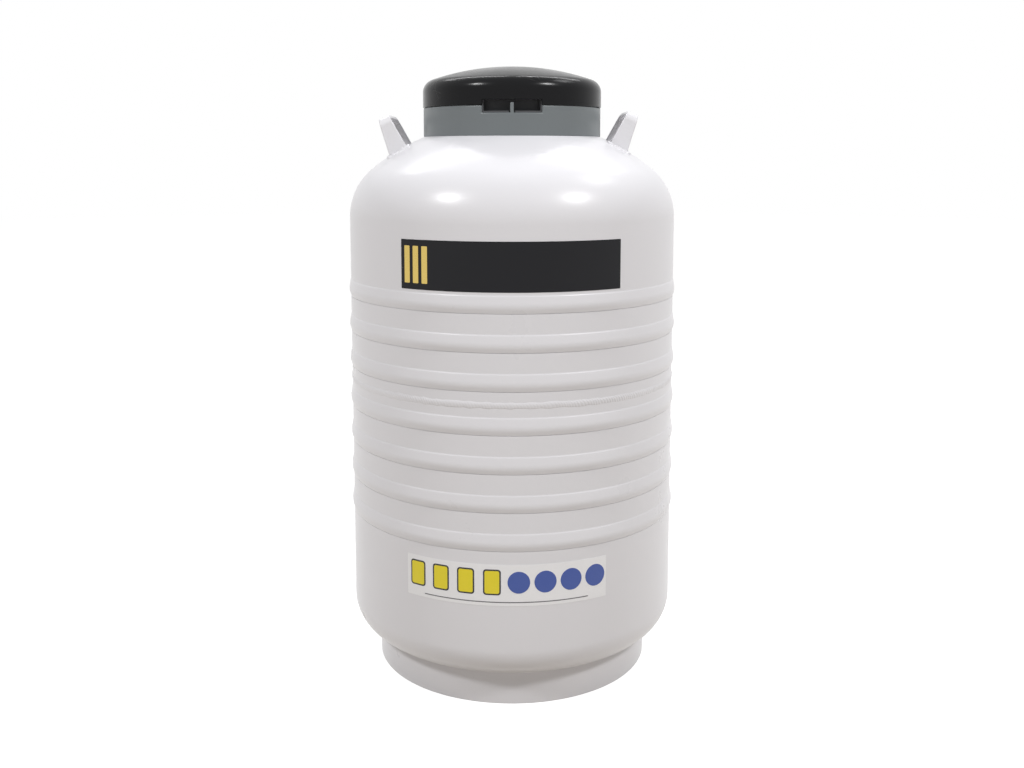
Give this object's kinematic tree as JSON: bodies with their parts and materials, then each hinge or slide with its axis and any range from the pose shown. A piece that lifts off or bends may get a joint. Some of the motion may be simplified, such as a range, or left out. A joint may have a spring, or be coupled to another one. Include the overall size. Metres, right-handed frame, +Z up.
{
  "type": "liquid nitrogen storage vessel",
  "caption": "Double-walled metal vessel with a ribbed shell, carrying handles and a lift-off lid with neck plug, for canisters of frozen samples in liquid nitrogen.",
  "frame": {"origin": "on the ground, under the middle of the foot ring", "axes": "+Z up along the vessel's axis, the lock at the front towards -Y"},
  "size_m": [0.4672, 0.4672, 0.849],
  "materials": {
    "white_enamel": "gloss",
    "grey_enamel": "satin",
    "bare_aluminium": "spun",
    "canister_metal": "satin",
    "grip_plastic": "moulded",
    "black_rubber": "matt",
    "neck_laminate": "wound glass fibre",
    "index_plastic": "moulded",
    "foil_wrap": "foil and paper",
    "sieve_cloth": "cloth",
    "lid_plastic": "gloss, fine orange peel",
    "liner_plastic": "moulded",
    "plug_foam": "foam",
    "screw_steel": "plain"
  },
  "bodies": {
    "vessel": {"upper_shell": "white_enamel", "lower_shell": "white_enamel", "girth_weld": "white_enamel", "foot_ring": "white_enamel", "vacuum_port": "bare_aluminium", "port_cap": "black_rubber", "neck_collar": "grey_enamel", "lock_lug": "grey_enamel", "neck_flange": "bare_aluminium", "neck_tube": "neck_laminate", "index_ring": "index_plastic", "inner_vessel": "bare_aluminium", "insulation_wrap": "foil_wrap", "sieve_pack": "sieve_cloth", "canister_locator": "bare_aluminium", "canister_1": "canister_metal", "canister_2": "canister_metal", "canister_3": "canister_metal", "canister_4": "canister_metal", "canister_5": "canister_metal", "canister_6": "canister_metal", "canister_grip_1": "grip_plastic", "canister_grip_2": "grip_plastic", "canister_grip_3": "grip_plastic", "canister_grip_4": "grip_plastic", "canister_grip_5": "grip_plastic", "canister_grip_6": "grip_plastic", "handle_left": "white_enamel", "handle_right": "white_enamel", "handle_beads_left": "white_enamel", "handle_beads_right": "white_enamel"},
    "lid": {"lid_cover": "lid_plastic", "lid_liner": "liner_plastic", "neck_plug": "plug_foam", "liner_screws": "screw_steel"}
  },
  "joints": [
    {"name": "lid_lift", "type": "slide", "parent": "vessel", "child": "lid", "axis": [0, 0, 1], "range_m": [0, 0.16]}
  ]
}
